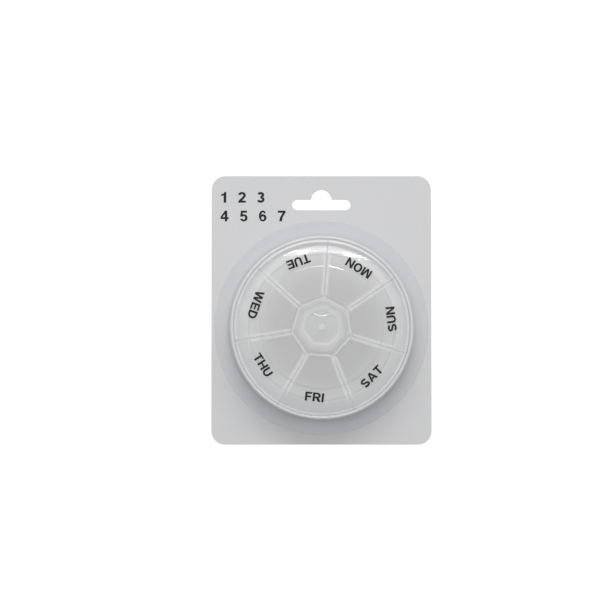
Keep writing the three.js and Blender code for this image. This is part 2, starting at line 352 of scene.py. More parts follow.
def add_node(owner, kind, inputs, **settings):
    """A node of a material or world. Its inputs are values, or sockets that feed them."""
    tree = owner.node_tree
    node = tree.nodes.new("ShaderNode" + kind)
    for name, value in settings.items():
        setattr(node, name, value)
    for name, value in inputs.items():
        if isinstance(value, bpy.types.NodeSocket):
            tree.links.new(value, node.inputs[name])
        else:
            node.inputs[name].default_value = value
    return node


def vector_math(owner, operation, *inputs):
    """A vector maths node."""
    return add_node(owner, "VectorMath", dict(enumerate(inputs)), operation=operation)


def feed_shader(material, name, source):
    """Links a socket to an input of the material's Principled shader."""
    tree = material.node_tree
    tree.links.new(source, tree.nodes["Principled BSDF"].inputs[name])


def add_noise(material, scale, detail=4.0, stretch=(1, 1, 1)):
    """A noise texture in the piece's own coordinates, per metre; returns its factor socket."""
    place = add_node(material, "TexCoord", {})
    mapping = add_node(material, "Mapping", {"Vector": place.outputs["Object"], "Scale": stretch})
    noise = add_node(material, "TexNoise",
                     {"Vector": mapping.outputs["Vector"], "Scale": scale, "Detail": detail})
    return noise.outputs["Fac"]


def add_radius(material, low, high):
    """0 to 1 from one distance from the box's axis to another, in the piece's own coordinates."""
    place = add_node(material, "TexCoord", {})
    offset = vector_math(material, "SUBTRACT", place.outputs["Object"], AXIS)
    plan = vector_math(material, "MULTIPLY", offset.outputs["Vector"], (1, 1, 0))
    length = vector_math(material, "LENGTH", plan.outputs["Vector"])
    spread = add_node(material, "MapRange",
                      {"Value": length.outputs["Value"], "From Min": low, "From Max": high},
                      interpolation_type="SMOOTHSTEP")
    return spread.outputs["Result"]


def sum_of(material, first, second, second_share):
    """The first factor plus a share of the second, clamped to 0 to 1."""
    total = add_node(material, "Math", {0: second, 1: second_share, 2: first},
                     operation="MULTIPLY_ADD", use_clamp=True)
    return total.outputs["Value"]


def colour_between(material, factor, dark, light, low=0.3, high=0.7):
    """Base colour that runs from dark to light with a factor."""
    ramp = add_node(material, "ValToRGB", {"Fac": factor})
    first, last = ramp.color_ramp.elements
    first.position = low
    first.color = (*dark, 1)
    last.position = high
    last.color = (*light, 1)
    feed_shader(material, "Base Color", ramp.outputs["Color"])


def roughness_between(material, factor, low, high):
    """Roughness that runs from low to high with a factor."""
    spread = add_node(material, "MapRange", {"Value": factor, "To Min": low, "To Max": high})
    feed_shader(material, "Roughness", spread.outputs["Result"])


def bump_from(material, factor, height, strength):
    """Fine relief of a given height from a factor."""
    bump = add_node(material, "Bump", {"Height": factor, "Distance": height, "Strength": strength})
    feed_shader(material, "Normal", bump.outputs["Normal"])


def grey(level, cool=0.005):
    """A grey, its blue raised by a trace to cool it or lowered to warm it."""
    return (level, level, level + cool)


def board_material():
    """Coated paperboard with faint fibres."""
    material = new_material("paperboard", grey(0.6), 0.55, gloss=0.3)
    fibres = add_noise(material, 1100, 6, (1, 0.6, 1))
    colour_between(material, fibres, grey(0.594, 0.004), grey(0.61, 0.004))
    roughness_between(material, add_noise(material, 240), 0.48, 0.62)
    bump_from(material, add_noise(material, 1500, 5), 0.02 * MM, 0.5)
    return material


def board_edge_material():
    """The cut edge of the board, a little rougher and greyer, in thin layers."""
    material = new_material("paperboard_edge", grey(0.5, -0.01), 0.8)
    layers = add_noise(material, 1400, 3, (0.1, 0.1, 6))
    colour_between(material, layers, grey(0.42, -0.01), grey(0.58, -0.01))
    bump_from(material, layers, 0.05 * MM, 0.6)
    return material


def clear_material(name, alpha, dark, light, roughness):
    """Clear thermoformed sheet with a faint cool tint and slow waves from forming."""
    material = new_material("clear_" + name, light, roughness, alpha=alpha, ior=1.57)
    waves = add_noise(material, 55, 2)
    colour_between(material, waves, dark, light)
    roughness_between(material, add_noise(material, 300), roughness * 0.8, roughness * 1.2)
    bump_from(material, waves, 0.25 * MM, 0.3)
    return material


def frosted_material(name, alpha, dark, light, roughness=0.4, grain=SATIN_GRAIN, gloss=0.5,
                     cool=0.005):
    """Milky polypropylene: clouds between two greys, satin surface and fine grain."""
    light = grey(light, cool)
    material = new_material("frosted_" + name, light, roughness, alpha=alpha, gloss=gloss)
    colour_between(material, add_noise(material, CLOUD_SCALE, 5), grey(dark, cool), light)
    satin = add_noise(material, GLOSS_SCALE)
    roughness_between(material, satin, roughness * 0.85, roughness * 1.15)
    bump_from(material, add_noise(material, GRAIN_SCALE), grain, 0.35)
    return material


def lid_material():
    """The lids' polypropylene, painted lighter towards the rim and darker towards the hub: painted
    light and shade, over random clouds.
    """
    material = new_material("frosted_lids", grey(0.7, 0), 0.4, alpha=0.4)
    # Painted light and shade: the colour grows lighter with the distance from the box's axis
    outwards = add_radius(material, *LID_SHADE_RADII)
    clouds = add_noise(material, CLOUD_SCALE, 5)
    shade = sum_of(material, outwards, clouds, 0.12)
    colour_between(material, shade, grey(0.69), grey(0.835, 0.002), 0.06, 1.0)
    roughness_between(material, add_noise(material, GLOSS_SCALE), 0.2, 0.26)
    bump_from(material, add_noise(material, GRAIN_SCALE), LID_GRAIN, 0.3)
    return material


def ink_material():
    """Printed black ink, slightly uneven."""
    material = new_material("print_ink", grey(0.006, 0.001), 0.6, gloss=0.2)
    spots = add_noise(material, 2600, 3)
    colour_between(material, spots, grey(0.004, 0.001), grey(0.012, 0.001), 0.35, 0.75)
    roughness_between(material, spots, 0.5, 0.75)
    bump_from(material, spots, 0.006 * MM, 0.5)
    return material


BOARD = board_material()
BOARD_EDGE = board_edge_material()
CLEAR = clear_material("sheet", 0.16, (0.67, 0.685, 0.72), (0.71, 0.725, 0.76), 0.28)
# The wall is painted lighter than the flange: a painted sheen of the sheet seen edge on
CLEAR_WALL_PAINTED_SHEEN = clear_material("wall", 0.13, (0.9, 0.91, 0.93), (0.93, 0.94, 0.96), 0.08)
# The bead is denser, painted light that covers the shade in the gap below the rim
CLEAR_BEAD_PAINTED_LIGHT = clear_material("bead", 0.6, (0.69, 0.7, 0.71), (0.73, 0.74, 0.75), 0.2)
LIDS_WITH_PAINTED_SHADE = lid_material()
# Shoulders painted lighter than the plate, painted light; their gloss is real
SHOULDERS_PAINTED_LIGHT = frosted_material("shoulders", 0.48, 0.9, 0.95, 0.06, FINE_GRAIN, 0.42)
STEPS = frosted_material("steps", 0.5, 0.74, 0.78, 0.08, FINE_GRAIN, 1.0)
# Borders along the lids' sides painted lighter, painted light
BORDERS_PAINTED_LIGHT = frosted_material("borders", 0.45, 0.8, 0.86, 0.3)
# Rims painted lighter and denser to cover the shade of the gap below them, painted light
RIMS_PAINTED_LIGHT = frosted_material("rims", 0.9, 0.84, 0.88, 0.2)
HUB = frosted_material("hub", 0.5, 0.77, 0.82, 0.35)
# The recess is painted darker, painted shade, and its edge lighter, painted light
RECESS_PAINTED_SHADE = frosted_material("recess", 0.46, 0.72, 0.77, 0.3)
RECESS_EDGE_PAINTED_LIGHT = frosted_material("recess_edge", 0.55, 0.79, 0.84, 0.3)
# The pip is painted a little lighter than the hub, a painted highlight; its gloss is real
PIP = frosted_material("pip", 0.5, 0.8, 0.86, 0.08)
RIBS = frosted_material("ribs", 0.8, 0.74, 0.8)
WEBS = frosted_material("webs", 0.6, 0.72, 0.78, cool=0)
# Pocket floors painted darker, painted shade
FLOORS_PAINTED_SHADE = frosted_material("floors", 0.6, 0.4, 0.46)
WALLS = frosted_material("walls", 0.35, 0.78, 0.86)
# Tops of the walls painted lighter and denser, painted light
TOPS_PAINTED_LIGHT = frosted_material("tops", 0.9, 0.8, 0.88)
INK = ink_material()


# Meshes

def new_object(name, data):
    """A new object in the scene."""
    piece = bpy.data.objects.new(name, data)
    bpy.context.scene.collection.objects.link(piece)
    return piece


def mesh_piece(name, points, faces, materials, body, smooth_deg=40):
    """A mesh piece in the frame's coordinates that rides on a body."""
    mesh = bpy.data.meshes.new(name)
    mesh.from_pydata([tuple(p) for p in points], [], faces)
    return finish_piece(new_object(name, mesh), materials, body, smooth_deg)


def finish_piece(piece, materials, body, smooth_deg):
    """Consistent outward faces, smooth shading up to an angle, materials and body."""
    mesh = piece.data
    form = bmesh.new()
    form.from_mesh(mesh)
    bmesh.ops.remove_doubles(form, verts=form.verts, dist=WELD_DISTANCE)
    bmesh.ops.recalc_face_normals(form, faces=form.faces)
    form.to_mesh(mesh)
    form.free()
    for face in mesh.polygons:
        face.use_smooth = True
    mesh.set_sharp_from_angle(angle=math.radians(smooth_deg))
    mesh.materials.clear()
    for material in materials:
        mesh.materials.append(material)
    if body:
        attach(piece, body)
    return piece


def paint(piece, material_of):
    """Gives each face the one of the piece's materials that a function of the face returns."""
    for face in piece.data.polygons:
        face.material_index = piece.data.materials.find(material_of(face).name)


def strip_faces(loop_count, loop_size, loop_closed=True, ends_joined=False):
    """Quads between neighbouring loops of equal size."""
    faces = []
    rows = loop_count if ends_joined else loop_count - 1
    columns = loop_size if loop_closed else loop_size - 1
    for row in range(rows):
        here = row * loop_size
        there = (row + 1) % loop_count * loop_size
        for column in range(columns):
            after = (column + 1) % loop_size
            faces.append((here + column, here + after, there + after, there + column))
    return faces


def closed_faces(loop_count, loop_size):
    """Quads between neighbouring loops, and a face across the first and the last loop."""
    last = (loop_count - 1) * loop_size
    return strip_faces(loop_count, loop_size) + [
        tuple(range(loop_size)),
        tuple(range(last, last + loop_size)),
    ]


def outline_object(name, contours, thickness, edge_round=0.0):
    """A flat filled outline with holes, as a solid mesh object centred on z = 0."""
    curve = bpy.data.curves.new(name, "CURVE")
    curve.dimensions = "2D"
    curve.fill_mode = "BOTH"
    curve.extrude = thickness / 2 - edge_round
    curve.bevel_depth = edge_round
    curve.bevel_resolution = 2
    curve.offset = -edge_round
    for contour in contours:
        spline = curve.splines.new("POLY")
        spline.points.add(len(contour) - 1)
        for point, (x, y) in zip(spline.points, contour):
            point.co = (x, y, 0, 1)
        spline.use_cyclic_u = True
    source = new_object(name + "_outline", curve)
    bpy.context.view_layer.update()
    evaluated = source.evaluated_get(bpy.context.evaluated_depsgraph_get())
    mesh = bpy.data.meshes.new_from_object(evaluated)
    bpy.data.objects.remove(source)
    bpy.data.curves.remove(curve)
    mesh.name = name
    return new_object(name, mesh)


# Card

def card_contours():
    """The card's outline and its hanging slot."""
    half_width = CARD_HIGH.x
    half_height = CARD_HIGH.y
    radius = CARD_CORNER_RADIUS
    corner_x = half_width - radius
    corner_y = half_height - radius
    outline = []
    for quarter, (x, y) in enumerate(((1, 1), (-1, 1), (-1, -1), (1, -1))):
        centre = (x * corner_x, y * corner_y)
        outline += circle_arc(centre, radius, quarter * 90, quarter * 90 + 90, CARD_ARC_STEPS)
    return [outline, slot_contour(half_height - SLOT_LOWER_EDGE_DROP)]


def slot_contour(lower_edge):
    """A band with round ends and a hump over its middle, with soft inner corners."""
    end_radius = SLOT_BAND_HEIGHT / 2
    middle = lower_edge + end_radius
    end_x = SLOT_WIDTH / 2 - end_radius
    band_top = lower_edge + SLOT_BAND_HEIGHT
    hump_centre = (0, band_top - SLOT_HUMP_SINK)
    start = math.degrees(math.asin((SLOT_HUMP_SINK + SLOT_HUMP_FILLET) / SLOT_HUMP_RADIUS))
    hump = circle_arc(hump_centre, SLOT_HUMP_RADIUS, start, 180 - start, SLOT_HUMP_STEPS)
    foot = (SLOT_HUMP_RADIUS + SLOT_HUMP_FILLET, band_top)
    corner = (SLOT_HUMP_RADIUS, band_top)
    right = rounded([foot, corner, hump[0]], SLOT_HUMP_FILLET)[1:-1]
    left = [(-x, y) for x, y in reversed(right)]
    return (
        circle_arc((end_x, middle), end_radius, -90, 90, CARD_ARC_STEPS)
        + right + hump + left
        + circle_arc((-end_x, middle), end_radius, 90, 270, CARD_ARC_STEPS)
    )


def make_card():
    """The hanging card, its edges slightly rounded where they are cut."""
    card = outline_object("card_sheet", card_contours(), CARD_THICKNESS, CARD_EDGE_ROUND)
    card.data.transform(Matrix.Translation((0, 0, CARD_LOW.z + CARD_THICKNESS / 2)))
    finish_piece(card, [BOARD, BOARD_EDGE], "pack", smooth_deg=10)
    paint(card, lambda face: BOARD if abs(face.normal.z) > 0.5 else BOARD_EDGE)
    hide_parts("backing_card")


# Tray

def tray_profile():
    """The tray sheet's closed section as (radius, height) pairs."""
    bottom = CARD_HIGH.z + TRAY_LIFT
    rim = TRAY_HIGH.z
    bead = TRAY_BEAD_RADIUS
    flange_radius = TRAY_HIGH.x
    foot_radius = flange_radius - TRAY_FLANGE_WIDTH
    rim_radius = foot_radius - TRAY_LEAN
    lean = TRAY_LEAN / (rim - bottom)
    fillet = TRAY_FOOT_FILLET
    fillet_height = bottom + TRAY_SHEET + fillet
    fillet_x = foot_radius - lean * (fillet_height - bottom) + fillet
    fillet_centre = (fillet_x, fillet_height)
    flange_edge = rounded(
        [(fillet_x, bottom), (flange_radius, bottom), (flange_radius, bottom + TRAY_SHEET),
         (fillet_x, bottom + TRAY_SHEET)], TRAY_EDGE_ROUND)
    bead_centre = (rim_radius - bead, rim - bead)
    rim_bead = circle_arc(bead_centre, bead, 0, TRAY_BEAD_TURN_DEG, TRAY_BEAD_STEPS)
    outer_fillet = circle_arc(fillet_centre, fillet, 270, 180, TRAY_FILLET_STEPS)
    inner_fillet = circle_arc(fillet_centre, fillet + TRAY_SHEET, 180, 270, TRAY_FILLET_STEPS)
    return flange_edge[1:-1] + outer_fillet + rim_bead + inner_fillet


def tray_painted_light_material(face):
    """Painted light: the wall is lighter than the flange, a painted sheen where the sheet is seen
    edge on, and the denser bead covers the shade in the gap below the rim.
    """
    if face.center.z > TRAY_HIGH.z - TRAY_BEAD_PAINTED_LIGHT_ZONE:
        return CLEAR_BEAD_PAINTED_LIGHT
    return CLEAR_WALL_PAINTED_SHEEN if face.center.z > CARD_HIGH.z + TRAY_FOOT_FILLET else CLEAR


def make_tray():
    """The clear open-fronted tray, turned about the box's axis."""
    profile = tray_profile()
    points = []
    for angle in spaced(0, 2 * math.pi, TRAY_TURN_STEPS)[:-1]:
        points += [polar(radius, angle, height, AXIS) for radius, height in profile]
    faces = strip_faces(TRAY_TURN_STEPS, len(profile), ends_joined=True)
    materials = [CLEAR, CLEAR_WALL_PAINTED_SHEEN, CLEAR_BEAD_PAINTED_LIGHT]
    tray = mesh_piece("tray_sheet", points, faces, materials, "pack", smooth_deg=50)
    paint(tray, tray_painted_light_material)
    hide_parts("clear_tray")


# Lids

def shoulder_fall(radius):
    """How far the shoulder is below the flat top at a radius, blended in round the radius where it
    starts."""
    share = (radius - SHOULDER_RADIUS) / SHOULDER_RUN
    blend = SHOULDER_BLEND / SHOULDER_RUN
    if share <= -blend:
        return 0.0
    if share < blend:
        return SHOULDER_DROP * (1 - SHOULDER_CROWN) * (share + blend) ** 2 / (4 * blend)
    return SHOULDER_DROP * (share - SHOULDER_CROWN * share * (1 - share))


def lid_top(radius):
    """Height of a lid's upper side at a radius from the box's axis."""
    if radius > SHOULDER_RADIUS - SHOULDER_BLEND:
        return FLAT_TOP - shoulder_fall(radius)
    step = even_step((radius - STEP_RADIUS) / STEP_RUN, STEP_ROUND_SHARE)
    ease = smoothstep((radius - EASE_START) / (EASE_END - EASE_START))
    return PLATEAU_TOP - STEP_HEIGHT * step - (STEP_RISE - STEP_HEIGHT) * ease


def lid_sections():
    """Matching (radius, height) points of a lid's upper and lower side, from the hinge edge out
    over the rim and down the skirt. Both start near mid-thickness, so that the edge is round."""
    return hinge_edge_rows() + plate_rows() + shoulder_rows() + rim_rows() + skirt_rows()


def quarter_round(steps):
    """How far a round edge of radius 1 lies inside its end and inside its side, at even steps from
    the end to the side."""
    turns = [math.radians(degrees) for degrees in spaced(0, 90, steps)]
    return [(1 - math.cos(turn), 1 - math.sin(turn)) for turn in turns]


def hinge_edge_rows():
    """The rounded edge of a lid beside its web."""
    inner = LID_INNER_APOTHEM
    thickness = PLATEAU_TOP - LID_UNDER
    middle = LID_UNDER + thickness / 2
    pairs = [((inner, middle + LID_EDGE_ROUND), (inner, middle - LID_EDGE_ROUND))]
    for from_end, from_side in quarter_round(HINGE_EDGE_ROWS)[1:]:
        along = inner + LID_EDGE_ROUND * from_end
        rise = thickness / 2 - LID_EDGE_ROUND * from_side
        pairs.append(((along, middle + rise), (along, middle - rise)))
    return pairs


def plate_rows():
    """The flat part of a lid with its low step, out to where the shoulder starts to fall."""
    step_end = STEP_RADIUS + STEP_RUN
    outer_run = SHOULDER_RADIUS - SHOULDER_BLEND - step_end
    inner_run = STEP_RADIUS - LID_INNER_APOTHEM
    radii = [LID_INNER_APOTHEM + inner_run * share for share in PLATE_ROW_SHARES]
    radii += spaced(STEP_RADIUS, STEP_RUN, STEP_ROWS)
    radii += spaced(step_end, outer_run, OUTER_PLATE_ROWS)[1:]
    return [((along, lid_top(along)), (min(along, UNDER_TURN), LID_UNDER)) for along in radii]


def shoulder_rows():
    """The falling part of a lid, its upper side over its lower one."""
    radii = [SHOULDER_RADIUS + SHOULDER_BLEND * share for share in spaced(-1, 2, BLEND_ROWS)[1:]]
    radii += [SHOULDER_RADIUS + SHOULDER_RUN * share for share in SHOULDER_ROW_SHARES]
    under_run = SKIRT_INSIDE - UNDER_TURN
    under_fall = under_run * math.tan(SHOULDER_FALL)
    pairs = []
    for along in radii:
        under = UNDER_TURN + under_run * (along - SHOULDER_RADIUS) / SHOULDER_RUN
        fall = shoulder_fall(along) / SHOULDER_DROP * under_fall
        pairs.append(((along, lid_top(along)), (under, LID_UNDER - fall)))
    return pairs


def rim_rows():
    """The round turn from a lid's shoulder into its skirt."""
    corner = (BOX_RADIUS, RIM_HEIGHT)
    start = (
        BOX_RADIUS - RIM_ROUND * math.cos(SHOULDER_FALL),
        RIM_HEIGHT + RIM_ROUND * math.sin(SHOULDER_FALL),
    )
    end = (BOX_RADIUS, RIM_HEIGHT - RIM_ROUND)
    under_rim = LID_UNDER - (SKIRT_INSIDE - UNDER_TURN) * math.tan(SHOULDER_FALL)
    pairs = []
    for share in spaced(0, 1, RIM_ROWS)[1:]:
        inside = (SKIRT_INSIDE, under_rim - (RIM_ROUND - LID_EDGE_ROUND) * share)
        pairs.append((lerp(lerp(start, corner, share), lerp(corner, end, share), share), inside))
    return pairs


def skirt_rows():
    """The skirt's side and its rounded lower edge."""
    pairs = []
    for draw_in, lift in quarter_round(EDGE_ROWS):
        height = SKIRT_BOTTOM + LID_EDGE_ROUND * lift
        draw_in *= LID_EDGE_ROUND
        pairs.append(((BOX_RADIUS - draw_in, height), (SKIRT_INSIDE + draw_in, height)))
    return pairs


def corner_relief(radius):
    """How much further a lid's sides draw in beside its hinge, so that open neighbours pass."""
    past = (radius - CORNER_RELIEF_START) / (CORNER_RELIEF_END - CORNER_RELIEF_START)
    return CORNER_RELIEF * (1 - smoothstep(past))


def sector_point(radius, across, inset):
    """A point of a lid's row in its own plan, with the lid's middle line along +X. Across runs
    from -1 to 1 between the sides. Rows are straight at the hinge edge and arcs further out."""
    inset += corner_relief(radius)
    along_side = (radius - inset * math.sin(HALF_SECTOR)) / math.cos(HALF_SECTOR)
    reach = along_side * math.sin(HALF_SECTOR) - inset * math.cos(HALF_SECTOR)
    angle = (HALF_SECTOR - math.asin(inset / radius)) * across
    roundness = smoothstep((radius - LID_INNER_APOTHEM) / (BOWED_RADIUS - LID_INNER_APOTHEM))
    straight = (radius, reach * across)
    bowed = (radius * math.cos(angle), radius * math.sin(angle))
    return lerp(straight, bowed, roundness)


def flute(radius, across):
    """A row of shallow dips round the upper part of the shoulder."""
    start, middle, end = FLUTE_RADII
    fade = smoothstep((radius - start) / (middle - start))
    fade *= smoothstep((end - radius) / (end - middle))
    return -FLUTE_DEPTH * fade * (0.5 - 0.5 * math.cos(math.pi * FLUTES_PER_LID * (across + 1)))


def tab_drop(across):
    """How far the skirt's lower edge hangs down for the thumb tab."""
    arm = abs(across) * (HALF_SECTOR - LID_EDGE_INSET / BOX_RADIUS) * BOX_RADIUS
    return TAB_DROP * smoothstep((TAB_WIDTH / 2 - arm) / TAB_CORNER)


def lid_loop_steps():
    """The section round a lid, as (across, depth, inset) steps: top, side, underside and side.
    A depth below 0 counts from the lower side, and None is the lower side itself."""
    edge = LID_EDGE_ROUND
    top = [(across, 0.0, LID_EDGE_INSET + edge) for across in spaced(-1, 2, LID_COLUMNS)]
    right = [
        (1, edge * depth, LID_EDGE_INSET + edge * inset)
        for depth, inset in quarter_round(EDGE_ROWS)[1:]
    ]
    right_low = [(1, -depth, inset) for _, depth, inset in reversed(right)]
    under = [(across, None, inset) for across, _, inset in reversed(top)]
    left_low = [(-1, depth, inset) for _, depth, inset in reversed(right_low)]
    left = [(-1, depth, inset) for _, depth, inset in reversed(right)]
    return top + right + right_low + under + left_low + left


def lid_shape():
    """Points and faces of one lid along +X, about the box's axis."""
    pairs = lid_sections()
    steps = lid_loop_steps()
    points = []
    for top, under in pairs:
        gap = math.hypot(top[0] - under[0], top[1] - under[1])
        for across, depth, inset in steps:
            share = 1.0 if depth is None else depth / gap
            if share < 0:
                share += 1
            radius, height = lerp(top, under, share)
            x, y = sector_point(radius, across, inset)
            height += flute(top[0], across) * (1 - share)
            if height < SKIRT_BOTTOM + TAB_ZONE:
                height -= tab_drop(across)
            points.append((x, y, height))
    faces = strip_faces(len(pairs), len(steps))
    corners = (len(steps) - 2 * (LID_COLUMNS + 1)) // 2
    for first in (0, (len(pairs) - 1) * len(steps)):
        faces += cap_faces(first, LID_COLUMNS, corners, len(steps))
    return points, faces


def cap_faces(first, columns, corners, size):
    """Faces that close an end section between its upper and lower side."""
    lower = columns + 1 + corners
    faces = []
    for k in range(columns):
        above = first + k
        below = first + lower + columns - k
        faces.append((above, above + 1, below - 1, below))
    faces.append(tuple(first + columns + k for k in range(corners + 2)))
    faces.append((first,) + tuple(first + (lower + columns + k) % size for k in range(corners + 1)))
    return faces


def rib_shape(side):
    """A rounded rib below the lid along one of its sides, which follows plate and shoulder."""
    inset = PARTITION_THICKNESS / 2 + RIB_GAP + RIB_THICKNESS / 2
    start = LID_INNER_APOTHEM + RIB_INNER_SETBACK
    end = BOX_RADIUS - RIB_OUTER_SETBACK
    half = RIB_THICKNESS / 2
    corners = [(-half, RIB_ROOT), (-half, -RIB_DEPTH), (half, -RIB_DEPTH), (half, RIB_ROOT)]
    section = rounded(corners, RIB_FILLET)
    points = []
    for k in range(RIB_ROWS + 1):
        along = start + (end - start) * k / RIB_ROWS
        taper = smoothstep(min(k, RIB_ROWS - k) / RIB_END_ROWS)
        depth_share = RIB_END_SHARE + (1 - RIB_END_SHARE) * taper
        under = LID_UNDER - shoulder_fall(along + LID_THICKNESS * math.tan(SHOULDER_FALL / 2))
        for offset, height in section:
            level = under + (height if height > 0 else height * depth_share)
            away = inset + offset
            x = along * math.cos(HALF_SECTOR) + away * math.sin(HALF_SECTOR)
            y = along * math.sin(HALF_SECTOR) - away * math.cos(HALF_SECTOR)
            points.append((x, side * y, level))
    return points, closed_faces(RIB_ROWS + 1, len(section))


def day_angle(body):
    """Direction of a lid's middle line from the box's axis."""
    offset = HINGES[body].xy - AXIS.xy
    return math.atan2(offset.y, offset.x)


def turned(points, angle):
    """Points turned about the box's axis and moved to it."""
    place = Matrix.Translation((AXIS.x, AXIS.y, 0)) @ Matrix.Rotation(angle, 4, "Z")
    return [place @ Vector(p) for p in points]


def joined(shapes):
    """Several closed shapes as the points and faces of one."""
    points, faces = [], []
    for shape_points, shape_faces in shapes:
        faces += [tuple(len(points) + i for i in face) for face in shape_faces]
        points += shape_points
    return points, faces


def lid_painted_light_material(face, angle):
    """Painted light: lighter borders along a lid's sides, a lighter shoulder, and a lighter, denser
    rim that covers the shade of the gap below it.
    """
    offset = face.center - AXIS
    radius = math.hypot(offset.x, offset.y)
    turn = math.remainder(math.atan2(offset.y, offset.x) - angle, 2 * math.pi)
    if radius > BOX_RADIUS - RIM_ROUND and face.center.z > RIM_HEIGHT - RIM_ROUND:
        return RIMS_PAINTED_LIGHT
    if radius > SHOULDER_RADIUS:
        return SHOULDERS_PAINTED_LIGHT
    if radius * math.sin(HALF_SECTOR - abs(turn)) < LID_PAINTED_LIGHT_BORDER:
        return BORDERS_PAINTED_LIGHT
    return STEPS if 0 < radius - STEP_RADIUS < STEP_RUN and face.normal.z > 0 else LIDS_WITH_PAINTED_SHADE


def make_lid(day, plate, ribs):
    """One lid plate, and its two ribs as closed shells in a piece of their own."""
    body = f"lid_{day}"
    angle = day_angle(body)
    points, faces = plate
    lid = mesh_piece(f"lid_{day}_plate", turned(points, angle), faces,
                     [LIDS_WITH_PAINTED_SHADE, BORDERS_PAINTED_LIGHT, SHOULDERS_PAINTED_LIGHT, RIMS_PAINTED_LIGHT, STEPS], body)
    paint(lid, lambda face: lid_painted_light_material(face, angle))
    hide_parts(body)
    points, faces = ribs
    mesh_piece(f"lid_{day}_ribs", turned(points, angle), faces, [RIBS], body)


def web_shape():
    """Points and faces of one hinge strip along +X, with a shallow groove along its bend line and
    a shallower one below it."""
    start = HUB_EDGE_APOTHEM - WEB_OVERLAP
    end = LID_INNER_APOTHEM + WEB_OVERLAP
    top, bottom = [], []
    for i in range(WEB_ROWS + 1):
        along = start + (end - start) * i / WEB_ROWS
        groove = WEB_GROOVE * math.cos(math.pi * (i / WEB_ROWS - 0.5)) ** 2
        for k in range(WEB_COLUMNS + 1):
            across = WEB_WIDTH * (k / WEB_COLUMNS - 0.5)
            top.append((along, across, WEB_HIGH.z - groove))
            under = WEB_HIGH.z - WEB_THICKNESS + WEB_UNDER_GROOVE_SHARE * groove
            bottom.append((along, across, under))
    row = WEB_COLUMNS + 1
    count = len(top)
    faces = strip_faces(WEB_ROWS + 1, row, loop_closed=False)
    faces += [tuple(count + i for i in face) for face in faces]
    edges = [
        (i * row + side, (i + 1) * row + side)
        for i in range(WEB_ROWS) for side in (0, WEB_COLUMNS)
    ]
    edges += [
        (first + k, first + k + 1)
        for k in range(WEB_COLUMNS) for first in (0, WEB_ROWS * row)
    ]
    faces += [(first, second, count + second, count + first) for first, second in edges]
    return top + bottom, faces


def make_web(day, shape):
    """The thin hinge strip between hub plate and lid."""
    body = f"lid_{day}"
    angle = day_angle(body)
    points, faces = shape
    web = mesh_piece(f"web_{day}_strip", turned(points, angle), faces, [WEBS], None)
    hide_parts(f"hinge_web_{day}")
    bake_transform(web)


# Hub plate

def heptagon_ring(apothem, height, roundness):
    """One ring of the hub plate: seven flat sides with round corners, or a circle."""
    points = []
    for side in range(len(DAYS)):
        for share in spaced(-1, 2, HUB_COLUMNS_PER_SIDE)[:-1]:
            local = HALF_SECTOR * share
            flat = apothem / math.cos(local)
            corner = (apothem - HUB_CORNER_RADIUS) / math.cos(HALF_SECTOR) + HUB_CORNER_RADIUS
            radius = min(flat, corner) * (1 - roundness) + apothem * roundness
            angle = side * SECTOR + local
            points.append(polar(radius, angle, height))
    return points


def hub_profile():
    """The hub plate's section from the middle of its top round to the middle of its underside, as
    (apothem, height, roundness). Only the dome and the middle of the underside are round."""
    top = HUB_HIGH.z
    floor = top - RECESS_DEPTH
    pip = arc((0, floor + DOME_RISE + PIP_FOOT), (PIP_RADIUS, PIP_CROWN), *PIP_ARC)
    dome = arc((0, floor), (DOME_RADIUS, DOME_RISE), *DOME_ARC)
    plate = rounded([
        (DOME_FOOT_RADIUS, floor),
        (RECESS_APOTHEM - RECESS_SLOPE, floor),
        (RECESS_APOTHEM + RECESS_SLOPE, top),
        (HUB_TOP_APOTHEM - HUB_SLOPE, top),
        (HUB_EDGE_APOTHEM, PLATEAU_TOP - HUB_EDGE_DROP),
        (HUB_EDGE_APOTHEM, LID_UNDER),
        (PLUG_APOTHEM, LID_UNDER),
        (PLUG_APOTHEM, HUB_LOW.z),
        (PLUG_APOTHEM - PLUG_THICKNESS, HUB_LOW.z),
        (PLUG_APOTHEM - PLUG_THICKNESS, LID_UNDER),
        (DOME_RADIUS, LID_UNDER),
    ], HUB_EDGE_ROUND)
    rows = [(*point, 1.0) for point in pip + dome + plate[:1]]
    rows += [(*point, 0.0) for point in plate[1:-1]]
    return rows + [(*plate[-1], 1.0)]


def crescent_section():
    """The ridge's section as (distance outwards, height) pairs: a curved face and a steep back."""
    run = CRESCENT_FACE / len(CRESCENT_SLOPES_DEG)
    section = [(0.0, -CRESCENT_ROOT), (0.0, 0.0)]
    for slope in CRESCENT_SLOPES_DEG:
        away, height = section[-1]
        section.append((away + run, height + run * math.tan(math.radians(slope))))
    back = CRESCENT_FACE + CRESCENT_BACK
    return section + [(back, 0.0), (back, -CRESCENT_ROOT)]


def make_crescent():
    """A low curved ridge inside the recess, near its upper corner."""
    floor = HUB_HIGH.z - RECESS_DEPTH
    centre = (AXIS.x, AXIS.y + CRESCENT_PLACE + CRESCENT_RADIUS)
    section = crescent_section()
    points = []
    for across in spaced(-1, 2, CRESCENT_STEPS):
        turn = CRESCENT_TURN * across - math.pi / 2
        swell = CRESCENT_END_SHARE + (1 - CRESCENT_END_SHARE) * math.sqrt(max(1 - across ** 2, 0.0))
        for outwards, height in section:
            away = CRESCENT_RADIUS + (outwards - CRESCENT_FACE / 2) * swell
            level = floor + height * (swell if height > 0 else 1)
            points.append(polar(away, turn, level, centre))
    faces = closed_faces(CRESCENT_STEPS + 1, len(section))
    # The ridge takes the shoulders' lighter colour, a painted highlight along with its real gloss
    mesh_piece("hub_crescent", points, faces, [SHOULDERS_PAINTED_LIGHT], "box", smooth_deg=60)


